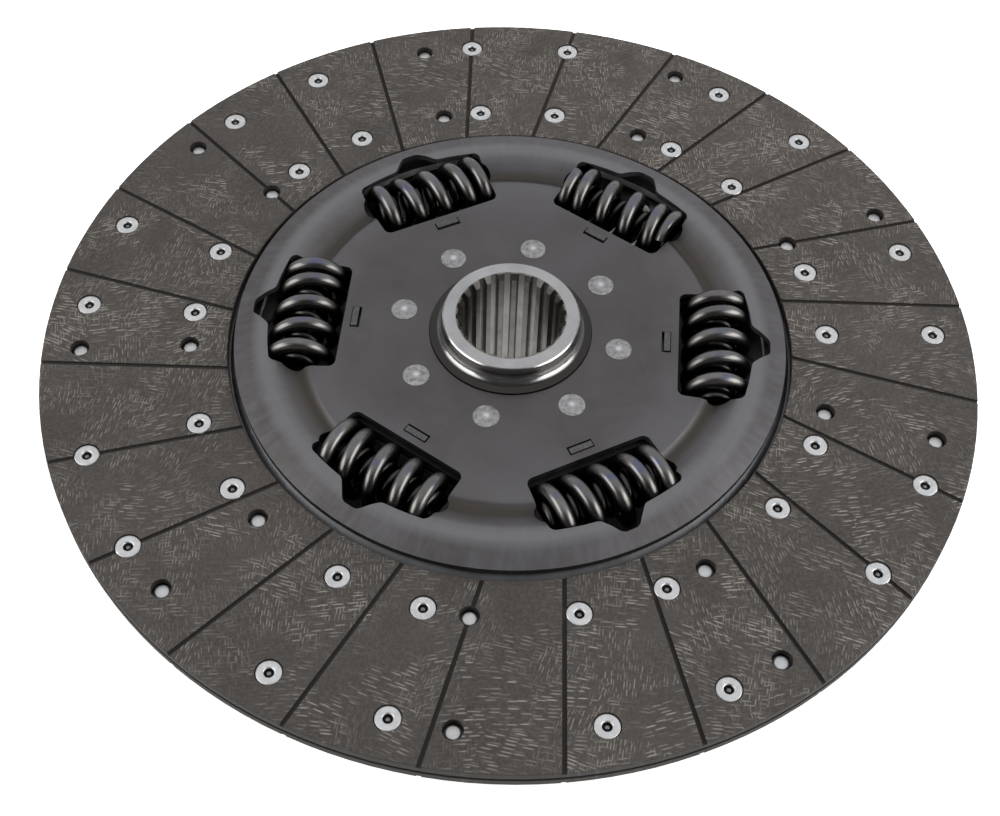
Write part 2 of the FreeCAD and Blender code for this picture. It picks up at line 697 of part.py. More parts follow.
def sector(inner, outer, half_angle):
    """A punch over the part of a ring within half_angle of the X axis."""
    height = float(S["punch_height"])
    directions = [FreeCAD.Vector(math.cos(a), math.sin(a), 0) for a in (-half_angle, 0, half_angle)]
    low = FreeCAD.Vector(0, 0, float(middle) - height / 2)
    far = [d * outer + low for d in directions]
    near = [d * inner + low for d in directions]
    edges = [
        Part.Arc(*far).toShape(),
        Part.LineSegment(far[2], near[2]).toShape(),
        Part.Arc(*near[::-1]).toShape(),
        Part.LineSegment(near[0], far[0]).toShape(),
    ]
    return Part.Face(Part.Wire(edges)).extrude(FreeCAD.Vector(0, 0, height))


def turned(shape, angle):
    return shape.rotated(FreeCAD.Vector(), FreeCAD.Vector(0, 0, 1), angle)


def upright(x, y, radius):
    height = float(S["punch_height"])
    return Part.makeCylinder(radius, height, FreeCAD.Vector(x, y, float(middle) - height / 2))


def make_facing(label, side, riveted, reached):
    """Grooved lining ring, riveted at some lands and open over the other facing's rivets."""
    body = new_body(label)
    low, high, bevel = spread_half, facing_top, S["facing_bevel"]
    levels = [low, high - bevel, high]
    back, shoulder, face = (middle + level * side for level in levels)
    section = sketch_on(body, "XZ_Plane", f"{label}_section")
    outline(section, [
        (S["facing_bore"], back),
        (S["facing_bore"], shoulder),
        (S["facing_bore"] + bevel, face),
        (S["facing_radius"] - bevel, face),
        (S["facing_radius"], shoulder),
        (S["facing_radius"], back),
    ])
    revolve(body, f"{label}_ring", section)

    # Counterbores, shank holes and access holes, in one repeat of the pattern
    seats = sketch_on(body, "XY_Plane", f"{label}_seats", lift=face)
    holes = sketch_on(body, "XY_Plane", f"{label}_holes")
    for x, y in rivet_places(riveted):
        circle(seats, S["rivet_head"] + S["seat_gap"], x, y)
        circle(holes, S["rivet_shank"] + S["rivet_gap"], x, y)
    for x, y in rivet_places(reached):
        circle(holes, S["access_radius"], x, y)
    sunk = pocket(body, f"{label}_seat", seats, S["rivet_sink"] + S["rivet_flange"], up=side < 0)
    around(body, f"{label}_all_seats", [sunk], S["pad_count"])
    around(body, f"{label}_all_holes", [pocket(body, f"{label}_hole", holes)], S["pad_count"])

    # Each groove's line passes the axis at a distance and runs out at the rim.
    first_turn = float(S["groove_phase"] - S["land_phase"])
    groove = sketch_on(body, "XY_Plane", f"{label}_groove_line", lift=face, turn=first_turn)
    near, far = S["groove_offset"] - S["groove_width"] / 2, S["groove_offset"] + S["groove_width"] / 2
    start, end = S["facing_bore"] / 2, S["facing_radius"] + S["groove_width"]
    outline(groove, [(start, near), (end, near), (end, far), (start, far)])
    cut = pocket(body, f"{label}_groove", groove, S["groove_depth"], up=side < 0)
    around(body, f"{label}_grooves", [cut], S["groove_count"])
    stand_at(body, S["land_phase"])
    return body


def make_front_facing_rivets():
    """Tubular rivets: a wide flange in the facing and an end rolled over behind a front land."""
    body = new_body("front_facing_rivets")
    flange_top = facing_top - S["rivet_sink"]
    flange_low = flange_top - S["rivet_flange"]
    curl_low = land_rise - S["curl_height"]
    rivets = []
    for number, (radius_name, angle) in enumerate(rivet_circles(ring_angles()), 1):
        rivets.append(axis_solid(body, f"front_rivet_{number}", [
            (S["rivet_bore"], middle + curl_low),
            (S["rivet_curl"], middle + curl_low),
            (S["rivet_curl"], middle + land_rise),
            (S["rivet_shank"], middle + land_rise),
            (S["rivet_shank"], middle + flange_low),
            (S["rivet_head"], middle + flange_low),
            (S["rivet_head"], middle + flange_top - S["rivet_flange"] / 3),
            (S["rivet_head"] - S["rivet_flange"] / 2, middle + flange_top),
            (S["rivet_bore"], middle + flange_top),
        ], S[radius_name], angle))
    around(body, "all_front_rivets", rivets, S["pad_count"])
    stand_at(body, S["land_phase"])
    return body


def make_rear_facing_rivets():
    """Solid rivets of the rear facing. Their closed ends are seen down the front facing's access holes."""
    body = new_body("rear_facing_rivets")
    head_face = facing_top - S["rivet_sink"]
    head_low = head_face - S["rivet_flange"]
    rivets = []
    for number, (radius_name, angle) in enumerate(rivet_circles(button_angles()), 1):
        rivets.append(axis_solid(body, f"rear_rivet_{number}", [
            (0, middle - head_face),
            (S["rivet_head"], middle - head_face),
            (S["rivet_head"], middle - head_low),
            (S["rivet_shank"], middle - head_low),
            (S["rivet_shank"], middle - land_rise),
            (S["button_radius"], middle - land_rise),
            (S["button_radius"], middle - land_rise + S["button_height"] - S["button_chamfer"]),
            (S["button_radius"] - S["button_chamfer"], middle - land_rise + S["button_height"]),
            (0, middle - land_rise + S["button_height"]),
        ], S[radius_name], angle))
    around(body, "all_rear_rivets", rivets, S["pad_count"])
    stand_at(body, S["land_phase"])
    return body


def rivet_circles(angles):
    return [(name, angle) for name in ("rivet_circle_inner", "rivet_circle_outer") for angle in angles]


# Friction pieces round the flange


def make_friction_washer():
    """Thin lining between the drive plate and the pressure ring."""
    body = new_body("front_friction_washer")
    flat = sketch_on(body, "XY_Plane", "washer_ring", lift=middle + drive_half)
    circle(flat, S["friction_outer"])
    circle(flat, S["friction_inner"])
    pad(body, "washer_sheet", flat, S["washer_thickness"])
    return body


def add_lugs(body, side, base):
    """Six lugs on a ring, standing in the slots of a cover plate."""
    lug = sketch_on(body, "XY_Plane", f"{body.Label}_lug", lift=middle + base * side)
    inner, outer = S["slot_inner"] + S["lug_inner_gap"], S["slot_outer"] - S["lug_gap"]
    half = S["slot_half"] - S["lug_end_gap"]
    outline(lug, [(inner, -half), (outer, -half), (outer, half), (inner, half)])
    top = cover_top + S["lug_rise"]
    raised = pad(body, f"{body.Label}_first_lug", lug, top - base, down=side < 0)
    around(body, f"{body.Label}_lugs", [raised], S["window_count"])
    stand_at(body, S["window_phase"])


def make_pressure_ring():
    """Steel ring pressed on the washer by the disc spring and kept from turning by its lugs."""
    body = new_body("front_pressure_ring")
    base = drive_half + S["washer_thickness"]
    web = sketch_on(body, "XY_Plane", "pressure_web", lift=middle + base)
    circle(web, S["slot_outer"] - S["lug_gap"])
    circle(web, S["friction_inner"])
    pad(body, "pressure_sheet", web, S["pressure_thickness"])
    add_lugs(body, 1, base)
    return body


def make_rear_friction_ring():
    """Moulded ring between the drive plate and the rear cover, with the same lugs."""
    body = new_body("rear_friction_ring")
    web = sketch_on(body, "XY_Plane", "rear_ring_web", lift=middle - drive_half)
    circle(web, S["slot_outer"] - S["lug_gap"])
    circle(web, S["friction_inner"])
    pad(body, "rear_ring_web_pad", web, flange_half - drive_half, down=True)
    add_lugs(body, -1, drive_half)
    return body


def make_disc_spring():
    """Coned ring that loads the friction pieces, its inner edge on the ring and its outer on the cover."""
    body = new_body("disc_spring")
    low = middle + drive_half + S["washer_thickness"] + S["pressure_thickness"]
    high = middle + flange_half
    inner, outer = S["friction_inner"], S["friction_outer"]
    section = sketch_on(body, "XZ_Plane", "cone_section")
    outline(section, [
        (inner, low),
        (outer, high - S["disc_spring_thickness"]),
        (outer, high),
        (inner, low + S["disc_spring_thickness"]),
    ])
    revolve(body, "cone", section)
    return body


# Springs


def add_coil(body, name, wire, coil, height, turn, sides, pitch, turns, left):
    """One stretch of a spring's helix, swept from a section that stands in a plane through the axis."""
    section = sketch_on(body, "XZ_Plane", f"{name}_section", up=height, turn=turn)
    reach = 0.5 / math.cos(math.pi / sides)
    corners = []
    for number in range(sides):
        angle = 2 * math.pi * (number + 0.5) / sides
        corners.append((coil + wire * (reach * math.cos(angle)), wire * (reach * math.sin(angle))))
    outline(section, corners)
    helix = body.newObject("PartDesign::AdditiveHelix", name)
    helix.Profile = section
    helix.ReferenceAxis = (section, ["V_Axis"])
    helix.Mode = "pitch-turns-angle"
    helix.setExpression("Pitch", pitch.formula)
    helix.setExpression("Turns", turns.formula)
    helix.LeftHanded = left
    body.Tip = helix
    return helix


def make_spring(label, family, number, sides, left):
    """Cylindrical damper spring with closed, ground ends, lying along its window."""
    body = new_body(label)
    wire, coil, pitch = S[f"{family}_wire"], S[f"{family}_coil"], S[f"{family}_pitch"]
    half = S["window_half"] - S["spring_gap"]
    closed_pitch, closed = wire + S["closed_gap"], S["closed_turns"]
    start = -half + wire * S["ground_share"]
    closed_rise = closed_pitch * closed
    free_turns = (-start - closed_rise) * 2 / pitch
    hand = -1 if left else 1
    first_turn = hand * float(closed) * 360
    last_turn = first_turn + hand * float(free_turns) * 360
    free_start, free_end = start + closed_rise, -start - closed_rise
    add_coil(body, f"{label}_low", wire, coil, start, 0, sides, closed_pitch, closed, left)
    add_coil(body, f"{label}_free", wire, coil, free_start, first_turn, sides, pitch, free_turns, left)
    add_coil(body, f"{label}_high", wire, coil, free_end, last_turn, sides, closed_pitch, closed, left)
    for name, height, up in ((f"{label}_low_end", -half, False), (f"{label}_high_end", half, True)):
        grinding = sketch_on(body, "XY_Plane", name, lift=height)
        circle(grinding, coil + wire)
        pocket(body, f"{name}_ground", grinding, wire, up=up)
    along = float(S["window_phase"]) + window_step * number
    turn = FreeCAD.Rotation(FreeCAD.Vector(0, 0, 1), SPRING_TURNS[number])
    lying = FreeCAD.Rotation(FreeCAD.Vector(1, 0, 0), -90) * turn
    body.Placement.Rotation = FreeCAD.Rotation(FreeCAD.Vector(0, 0, 1), along) * lying
    east, north = on_circle(S["coil_place"], S["window_phase"] + window_step * number)
    body.setExpression("Placement.Base.x", east.formula)
    body.setExpression("Placement.Base.y", north.formula)
    body.setExpression("Placement.Base.z", middle.formula)
    return body


pieces = [
    make_hub(),
    make_cover("front_cover_plate", 1),
    make_cover("rear_cover_plate", -1),
    make_hub_rivets(),
    make_drive_plate(),
    make_cushion_disc(),
    make_cushion_rivets(),
    make_facing("front_facing", 1, ring_angles(), button_angles()),
    make_facing("rear_facing", -1, button_angles(), ring_angles()),
    make_front_facing_rivets(),
    make_rear_facing_rivets(),
    make_friction_washer(),
    make_pressure_ring(),
    make_disc_spring(),
    make_rear_friction_ring(),
]
for number in range(int(S["window_count"].number)):
    pieces.append(make_spring(f"outer_spring_{number + 1}", "outer", number, 8, False))
    pieces.append(make_spring(f"inner_spring_{number + 1}", "inner", number, 6, True))
doc.recompute()

for item in doc.Objects:
    if {"Invalid", "Error"} & set(item.State):
        raise RuntimeError(f"{item.Name} failed: {item.State}")
for piece in pieces:
    if piece.Shape.isNull() or not piece.Shape.isValid():
        raise RuntimeError(f"{piece.Label} has no valid shape")

os.makedirs("parts", exist_ok=True)
for piece in pieces:
    piece.Shape.exportStep(f"parts/{piece.Label}.step")
    print(piece.Label, len(piece.Shape.Solids), "solids", round(piece.Shape.Volume), "mm3")
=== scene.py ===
# %% [markdown]
# # A dry clutch disc
#
# The solids of this clutch disc come from CAD and stay where they are. This lesson gives them their finishes, and it
# makes again, as smooth surfaces, the pieces that live from their curves: above all the twelve damper springs. Every
# length is in metres. The shaft axis is Z, and Z points to the flywheel side.

import math

import bmesh
import bpy
import numpy as np
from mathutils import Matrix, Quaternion, Vector


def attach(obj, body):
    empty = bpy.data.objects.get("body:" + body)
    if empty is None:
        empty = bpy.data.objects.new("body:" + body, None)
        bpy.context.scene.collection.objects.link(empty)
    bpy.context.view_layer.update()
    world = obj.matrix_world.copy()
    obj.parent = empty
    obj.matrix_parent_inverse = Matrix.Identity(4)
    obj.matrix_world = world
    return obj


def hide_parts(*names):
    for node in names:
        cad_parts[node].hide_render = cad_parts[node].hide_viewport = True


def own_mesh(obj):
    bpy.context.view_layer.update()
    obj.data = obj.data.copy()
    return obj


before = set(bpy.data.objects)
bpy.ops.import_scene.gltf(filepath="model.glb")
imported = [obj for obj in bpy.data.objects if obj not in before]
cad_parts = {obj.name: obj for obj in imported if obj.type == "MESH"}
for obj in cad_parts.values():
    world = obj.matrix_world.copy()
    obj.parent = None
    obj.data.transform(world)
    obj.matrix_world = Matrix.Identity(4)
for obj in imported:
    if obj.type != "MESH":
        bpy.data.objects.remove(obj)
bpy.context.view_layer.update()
MM = 0.001
MIDDLE = 51 * MM

# %% [markdown]
# ## The camera
#
# The picture was taken from in front of the disc and above it. The ring of rivets on the facing fixes the lens and the
# place: they lie on circles, so their ellipses in the picture give both. A camera can be built from a matrix, but a
# place, a direction and a roll say more, so those are used.

# %% Camera
camera_data = bpy.data.cameras.new("camera")
camera_data.lens = 53.794
camera_data.sensor_width = 36.0
camera_data.clip_start = 0.01
camera = bpy.data.objects.new("camera", camera_data)
bpy.context.scene.collection.objects.link(camera)
bpy.context.scene.camera = camera

looks_down, looks_aside, roll = math.radians(54.364), math.radians(0.485), math.radians(1.947)
direction = Vector((
    -math.cos(looks_down) * math.sin(looks_aside),
    math.cos(looks_down) * math.cos(looks_aside),
    -math.sin(looks_down),
))
camera.location = (0.0, -0.43325, 0.60064)
camera.rotation_mode = "QUATERNION"
camera.rotation_quaternion = direction.to_track_quat("-Z", "Y") @ Quaternion((0, 0, 1), roll)
print("camera looks along", [round(value, 3) for value in direction])

# %% [markdown]
# ## Node helpers
#
# Finishes here are built from a few shader nodes each. Small helpers keep that short: they add a node, set its values
# and join its sockets. Patterns that several finishes share become node groups with named inputs.

# %% Node helpers
def add_node(tree, kind, links=(), **values):
    """Adds a node, sets its properties and its inputs by name, and links its inputs from (name, socket) pairs."""
    node = tree.nodes.new(kind)
    for name, value in values.items():
        if hasattr(node, name):
            setattr(node, name, value)
        else:
            node.inputs[name.replace("_", " ")].default_value = value
    for name, socket in links:
        tree.links.new(socket, node.inputs[name])
    return node


def new_group(name, inputs, outputs):
    """An empty node group with float, vector or colour sockets, and its input and output nodes."""
    group = bpy.data.node_groups.new(name, "ShaderNodeTree")
    for socket, kind, value in inputs:
        made = group.interface.new_socket(name=socket, in_out="INPUT", socket_type=f"NodeSocket{kind}")
        if value is not None:
            made.default_value = value
    for socket, kind in outputs:
        group.interface.new_socket(name=socket, in_out="OUTPUT", socket_type=f"NodeSocket{kind}")
    return group, group.nodes.new("NodeGroupInput"), group.nodes.new("NodeGroupOutput")


def place_group(tree, group, links=(), **values):
    """Places a node group in a material and sets its inputs."""
    node = tree.nodes.new("ShaderNodeGroup")
    node.node_tree = group
    for name, value in values.items():
        node.inputs[name.replace("_", " ")].default_value = value
    for name, socket in links:
        tree.links.new(socket, node.inputs[name])
    return node


def calculate(tree, operation, *values, kind="ShaderNodeMath"):
    """One Math or Vector Math node on sockets or numbers. Gives its output."""
    node = add_node(tree, kind, operation=operation)
    for socket, value in zip(node.inputs, values):
        if hasattr(value, "links"):
            tree.links.new(value, socket)
        else:
            socket.default_value = value
    return node.outputs["Value" if operation == "LENGTH" else 0]


def spread(tree, value, low, high, to_low=0.0, to_high=1.0):
    """Maps the range low..high of a value to another range, without leaving it."""
    node = add_node(tree, "ShaderNodeMapRange", [("Value", value)], From_Min=low, From_Max=high, To_Min=to_low,
                    To_Max=to_high)
    return node.outputs["Result"]


def hump(tree, value, rise, top, fall, foot):
    """A mask that rises from 0 to 1 between two values and falls back to 0 between two more."""
    return calculate(tree, "MULTIPLY", spread(tree, value, rise, top), spread(tree, value, foot, fall))


def blend_colours(tree, share, first, second):
    """Mixes two colours or colour sockets by a share."""
    node = tree.nodes.new("ShaderNodeMix")
    node.data_type = "RGBA"
    tree.links.new(share, node.inputs["Factor"])
    for socket, value in ((node.inputs[6], first), (node.inputs[7], second)):
        if hasattr(value, "links"):
            tree.links.new(value, socket)
        else:
            socket.default_value = (*value, 1)
    return node.outputs[2]


def new_finish(name, **settings):
    """A material with its Principled shader, whose plain values are set on its own sockets."""
    material = bpy.data.materials.new(name)
    material.use_nodes = True
    shader = material.node_tree.nodes["Principled BSDF"]
    for key, value in settings.items():
        shader.inputs[key.replace("_", " ")].default_value = value
    return material, material.node_tree, shader


def own_place(tree):
    """The piece's own coordinates, in metres."""
    return add_node(tree, "ShaderNodeTexCoord").outputs["Object"]


def raise_relief(tree, shader, height, strength, distance):
    """Turns a height into bumps of the surface."""
    bump = add_node(tree, "ShaderNodeBump", [("Height", height)], Strength=strength, Distance=distance)
    tree.links.new(bump.outputs["Normal"], shader.inputs["Normal"])


print("helpers ready")

# %% [markdown]
# ## Distance from the shaft
#
# Nearly everything on a disc is arranged about its shaft: the turning marks of the hub, the pressed bead of the cover
# and the painted shadow of the disc on the floor. This group turns a place into its distance from the axis, its
# angle about it and its height along it. Painted shade deepens towards the disc's middle plane, so the distance from
# that plane has a function of its own.

# %% Polar coordinates
polar, inside, outside = new_group(
    "about_the_shaft", [("Vector", "Vector", None)], [("Radius", "Float"), ("Angle", "Float"), ("Height", "Float")])
parts = add_node(polar, "ShaderNodeSeparateXYZ", [("Vector", inside.outputs["Vector"])])
flat = add_node(polar, "ShaderNodeCombineXYZ", [("X", parts.outputs["X"]), ("Y", parts.outputs["Y"])])
polar.links.new(calculate(polar, "LENGTH", flat.outputs["Vector"], kind="ShaderNodeVectorMath"),
                outside.inputs["Radius"])
polar.links.new(calculate(polar, "ARCTAN2", parts.outputs["Y"], parts.outputs["X"]), outside.inputs["Angle"])
polar.links.new(parts.outputs["Z"], outside.inputs["Height"])


def own_depth(tree):
    """How far a place of the piece lies before or behind the middle plane of the disc."""
    height = place_group(tree, polar, [("Vector", own_place(tree))]).outputs["Height"]
    return calculate(tree, "ABSOLUTE", calculate(tree, "SUBTRACT", height, MIDDLE))


print("group", polar.name)

# %% [markdown]
# ## Floor
#
# A product photographer lays such a disc on a white sweep of milk glass, lit from below until it turns plain white.
# A little light of its own stands in for that. Under the disc the sweep is painted dark and gives no light, a painted
# shadow, so through the spring windows you look down into the dark. Only the hub stands over bare glass, which lights
# its bore from below.

# %% White sweep
def flat_sheet(name, half, height):
    """A square in the plane z = height, reaching half to each side of the axis."""
    mesh = bpy.data.meshes.new(name)
    corners = np.array([[-half, -half, height], [half, -half, height], [half, half, height], [-half, half, height]])
    mesh.from_pydata(corners.tolist(), [], [(0, 1, 2, 3)])
    sheet = bpy.data.objects.new(name, mesh)
    bpy.context.scene.collection.objects.link(sheet)
    return sheet


FLOOR_HALF = 12.0
floor = flat_sheet("floor", FLOOR_HALF, 0.0)
sweep, tree, shader = new_finish("white_sweep", Roughness=0.9, Specular_IOR_Level=0.0, Emission_Strength=0.7)
radius = place_group(tree, polar, [("Vector", own_place(tree))]).outputs["Radius"]
beyond_the_disc = spread(tree, radius, 150 * MM, 186 * MM)
under_the_bore = spread(tree, radius, 27 * MM, 25 * MM)
bare = calculate(tree, "MAXIMUM", beyond_the_disc, under_the_bore)
# Painted shadow: under the disc the sweep is dark and gives no light; beyond the disc and under the bore it is white
# and glows.
tree.links.new(blend_colours(tree, bare, (0.06, 0.06, 0.06), (0.9, 0.9, 0.89)), shader.inputs["Base Color"])
tree.links.new(blend_colours(tree, bare, (0.0, 0.0, 0.0), (1.0, 1.0, 0.99)), shader.inputs["Emission Color"])
floor.data.materials.append(sweep)
print("floor is", 2 * FLOOR_HALF, "m wide")

# %% [markdown]
# ## Light
#
# Steel shows its surroundings more than itself. A light tent stands behind and above the disc, and every level or
# gently pressed face mirrors it into the camera, so it sets their grey. It is the world's background, bright in those
# directions and dark in front, where the camera stands: polished steel that looks that way turns black. Two soft
# boxes at the sides draw the bright streaks on the hub's flare and on both flanks of the coils. A low one behind
# lifts the far side of the lining; steel doesn't mirror it.

# %% Lights
scene = bpy.context.scene
scene.view_settings.view_transform = "Standard"
world = bpy.data.worlds.new("studio")
scene.world = world
world.use_nodes = True
tree = world.node_tree
way = add_node(tree, "ShaderNodeTexCoord").outputs["Generated"]
sky = add_node(tree, "ShaderNodeSeparateXYZ", [("Vector", way)])
tent = calculate(tree, "MULTIPLY_ADD", sky.outputs["Y"], 0.9, sky.outputs["Z"])
tree.links.new(blend_colours(tree, spread(tree, tent, 0.35, 0.8), (0.05, 0.05, 0.05), (0.66, 0.67, 0.7)),
               tree.nodes["Background"].inputs["Color"])


def soft_box(name, place, size, watts):
    """A rectangular lamp at a place, turned so that it faces the middle of the disc."""
    lamp = bpy.data.lights.new(name, "AREA")
    lamp.shape = "RECTANGLE"
    lamp.size, lamp.size_y = size
    lamp.energy = watts
    box = bpy.data.objects.new(name, lamp)
    box.location = place
    box.rotation_mode = "QUATERNION"
    box.rotation_quaternion = (Vector((0, 0, 50 * MM)) - Vector(place)).to_track_quat("-Z", "Y")
    scene.collection.objects.link(box)
    return box


soft_box("box_left", (-1.02, -0.38, 0.64), (1.1, 0.7), 7.4)
soft_box("box_right", (1.02, -0.38, 0.64), (1.1, 0.7), 8.4)
soft_box("box_behind", (0.3, 0.85, 0.4), (1.0, 0.5), 9.0).visible_glossy = False

# %% [markdown]
# ## Two shared patterns
#
# Handled steel is never even. Large soft clouds change its tone, as oil film and phosphate do, and fine grain breaks
# its gloss. One group gives both from the piece's own coordinates. A second group gives short scratches: a noise that
# is stretched along one direction and cut off high, so that only its peaks stay.

# %% Clouds and grain
clouds, inside, outside = new_group(
    "clouds_and_grain",
    [("Vector", "Vector", None), ("Cloud Scale", "Float", 30.0), ("Grain Scale", "Float", 1500.0)],
    [("Clouds", "Float"), ("Grain", "Float")],
)
wide = add_node(clouds, "ShaderNodeTexNoise",
                [("Vector", inside.outputs["Vector"]), ("Scale", inside.outputs["Cloud Scale"])],
                Detail=5.0, Roughness=0.62, Distortion=0.6)
fine = add_node(clouds, "ShaderNodeTexNoise",
                [("Vector", inside.outputs["Vector"]), ("Scale", inside.outputs["Grain Scale"])],
                Detail=3.0, Roughness=0.6)
clouds.links.new(spread(clouds, wide.outputs["Fac"], 0.3, 0.7), outside.inputs["Clouds"])
clouds.links.new(fine.outputs["Fac"], outside.inputs["Grain"])
print("group", clouds.name)

# %% Scratches
scratches, inside, outside = new_group(
    "scratches",
    [("Vector", "Vector", None), ("Turn", "Float", 0.4), ("Along", "Float", 60.0), ("Across", "Float", 2500.0),
     ("Amount", "Float", 0.5)],
    [("Mask", "Float")],
)
turned = add_node(scratches, "ShaderNodeVectorRotate",
                  [("Vector", inside.outputs["Vector"]), ("Angle", inside.outputs["Turn"])], rotation_type="Z_AXIS")
scale = add_node(scratches, "ShaderNodeCombineXYZ",
                 [("X", inside.outputs["Along"]), ("Y", inside.outputs["Across"])], Z=40.0)
stretched = calculate(scratches, "MULTIPLY", turned.outputs["Vector"], scale.outputs["Vector"],
                      kind="ShaderNodeVectorMath")
lines = add_node(scratches, "ShaderNodeTexNoise", [("Vector", stretched)], Scale=1.0, Detail=2.0)
peaks = spread(scratches, lines.outputs["Fac"], 0.66, 0.74)
scratches.links.new(calculate(scratches, "MULTIPLY", peaks, inside.outputs["Amount"]), outside.inputs["Mask"])
print("group", scratches.name)

# %% [markdown]
# ## Friction lining
#
# The facing is wound from yarn, soaked in resin, pressed and ground flat. Grinding cuts the yarns open, and they show
# as patches of short, straight, pale strokes, each patch running its own way. A Voronoi texture gives the patches:
# every cell has a colour of its own, and one channel of it turns the coordinates of that cell. In the turned
# coordinates a second, stretched Voronoi texture lays out one stroke per cell: a bar about the cell's own point.
# Whatever lies below the ground face, grooves, seats and holes, is painted near black: dust, and painted shade.

# %% Yarn strokes
strokes, inside, outside = new_group(
    "yarn_strokes",
    [("Vector", "Vector", None), ("Patch Scale", "Float", 42.0), ("Rows", "Float", 620.0),
     ("Along", "Float", 170.0), ("Turn", "Float", 0.0), ("Swing", "Float", 0.45), ("Shift", "Float", 0.0)],
    [("Mask", "Float")],
)
shifted = calculate(strokes, "ADD", inside.outputs["Vector"], inside.outputs["Shift"], kind="ShaderNodeVectorMath")
waver = add_node(strokes, "ShaderNodeTexNoise", [("Vector", shifted)], Scale=38.0, Detail=2.0)
bent = calculate(strokes, "MULTIPLY_ADD", waver.outputs["Color"], (0.016, 0.016, 0.0), shifted,
                 kind="ShaderNodeVectorMath")
patch = add_node(strokes, "ShaderNodeTexVoronoi", [("Vector", bent), ("Scale", inside.outputs["Patch Scale"])],
                 voronoi_dimensions="2D")
patch_values = add_node(strokes, "ShaderNodeSeparateColor", [("Color", patch.outputs["Color"])])
swing = calculate(strokes, "MULTIPLY", spread(strokes, patch_values.outputs["Red"], 0, 1, -1, 1),
                  inside.outputs["Swing"])
laid = add_node(strokes, "ShaderNodeVectorRotate",
                [("Vector", shifted), ("Angle", calculate(strokes, "ADD", swing, inside.outputs["Turn"]))],
                rotation_type="Z_AXIS")
rows = add_node(strokes, "ShaderNodeCombineXYZ", [("X", inside.outputs["Along"]), ("Y", inside.outputs["Rows"])])
drawn = calculate(strokes, "MULTIPLY", laid.outputs["Vector"], rows.outputs["Vector"], kind="ShaderNodeVectorMath")
stroke = add_node(strokes, "ShaderNodeTexVoronoi", [("Vector", drawn)], voronoi_dimensions="2D", Scale=1.0,
                  Randomness=0.8)
offset = calculate(strokes, "SUBTRACT", drawn, stroke.outputs["Position"], kind="ShaderNodeVectorMath")
sides = add_node(strokes, "ShaderNodeSeparateXYZ",
                 [("Vector", calculate(strokes, "ABSOLUTE", offset, kind="ShaderNodeVectorMath"))])
bar = calculate(strokes, "MULTIPLY", spread(strokes, sides.outputs["X"], 0.48, 0.22),
                spread(strokes, sides.outputs["Y"], 0.27, 0.05))
stroke_values = add_node(strokes, "ShaderNodeSeparateColor", [("Color", stroke.outputs["Color"])])
thick = add_node(strokes, "ShaderNodeTexNoise", [("Vector", shifted)], Scale=60.0, Detail=1.0)
chosen = calculate(strokes, "MULTIPLY", spread(strokes, stroke_values.outputs["Green"], 0.1, 0.9),
                   spread(strokes, thick.outputs["Fac"], 0.36, 0.6))
kept = calculate(strokes, "MULTIPLY", chosen, spread(strokes, patch_values.outputs["Blue"], 0.0, 0.6))
strokes.links.new(calculate(strokes, "MULTIPLY", bar, kept), outside.inputs["Mask"])
print("group", strokes.name)

# %% Lining material
lining, tree, shader = new_finish("ground_lining")
own = own_place(tree)
first_layer = place_group(tree, strokes, [("Vector", own)])
second_layer = place_group(tree, strokes, [("Vector", own)], Patch_Scale=31.0, Rows=760.0, Along=250.0, Turn=1.57,
                           Swing=0.35, Shift=3.7)
tone = place_group(tree, clouds, [("Vector", own)], Cloud_Scale=28.0, Grain_Scale=700.0)
pale = calculate(tree, "MAXIMUM", first_layer.outputs["Mask"],
                 calculate(tree, "MULTIPLY", second_layer.outputs["Mask"], 0.7))
resin = blend_colours(tree, tone.outputs["Clouds"], (0.040, 0.034, 0.029), (0.060, 0.051, 0.044))
speckled = blend_colours(tree, spread(tree, tone.outputs["Grain"], 0.4, 0.8), resin, (0.082, 0.073, 0.065))
ground = blend_colours(tree, pale, speckled, (0.28, 0.255, 0.225))
# Dust and painted shade: below the ground face the lining is painted near black.
dust_and_shade = spread(tree, own_depth(tree), 4.9 * MM, 4.5 * MM)
tree.links.new(blend_colours(tree, dust_and_shade, ground, (0.034, 0.030, 0.027)), shader.inputs["Base Color"])
tree.links.new(spread(tree, pale, 0, 1, 0.85, 0.6), shader.inputs["Roughness"])
raise_relief(tree, shader, calculate(tree, "MULTIPLY_ADD", tone.outputs["Grain"], 0.7, pale), 0.3, 0.0002)
print("material", lining.name)

# %% [markdown]
# ## Steel finishes
#
# The small steel pieces differ in three ways only: how dark they are, how much of a mirror they are, and how even. One
# function makes them all from those values, and the shared groups give each its own clouds and scratches.

# %% Steel materials
def steel(name, dark, light, rough, cloud_scale, metallic=1.0, marks=0.3, relief=0.1):
    """A steel whose colour and roughness drift between two values, with scratches and fine grain in its relief."""
    material, tree, shader = new_finish(name, Metallic=metallic)
    own = own_place(tree)
    tone = place_group(tree, clouds, [("Vector", own)], Cloud_Scale=cloud_scale, Grain_Scale=1800.0)
    one_way = place_group(tree, scratches, [("Vector", own)], Turn=0.5, Amount=marks)
    other_way = place_group(tree, scratches, [("Vector", own)], Turn=2.2, Along=45.0, Amount=marks)
    lined = calculate(tree, "MAXIMUM", one_way.outputs["Mask"], other_way.outputs["Mask"])
    plain = blend_colours(tree, tone.outputs["Clouds"], dark, light)
    bare = tuple(min(1, 1.5 * value) for value in light)
    tree.links.new(blend_colours(tree, lined, plain, bare), shader.inputs["Base Color"])
    gloss = spread(tree, tone.outputs["Clouds"], 0, 1, rough[0], rough[1])
    tree.links.new(calculate(tree, "MULTIPLY_ADD", lined, 0.1, gloss), shader.inputs["Roughness"])
    raise_relief(tree, shader, calculate(tree, "MULTIPLY_ADD", lined, -0.6, tone.outputs["Grain"]), relief, 0.0001)
    return material


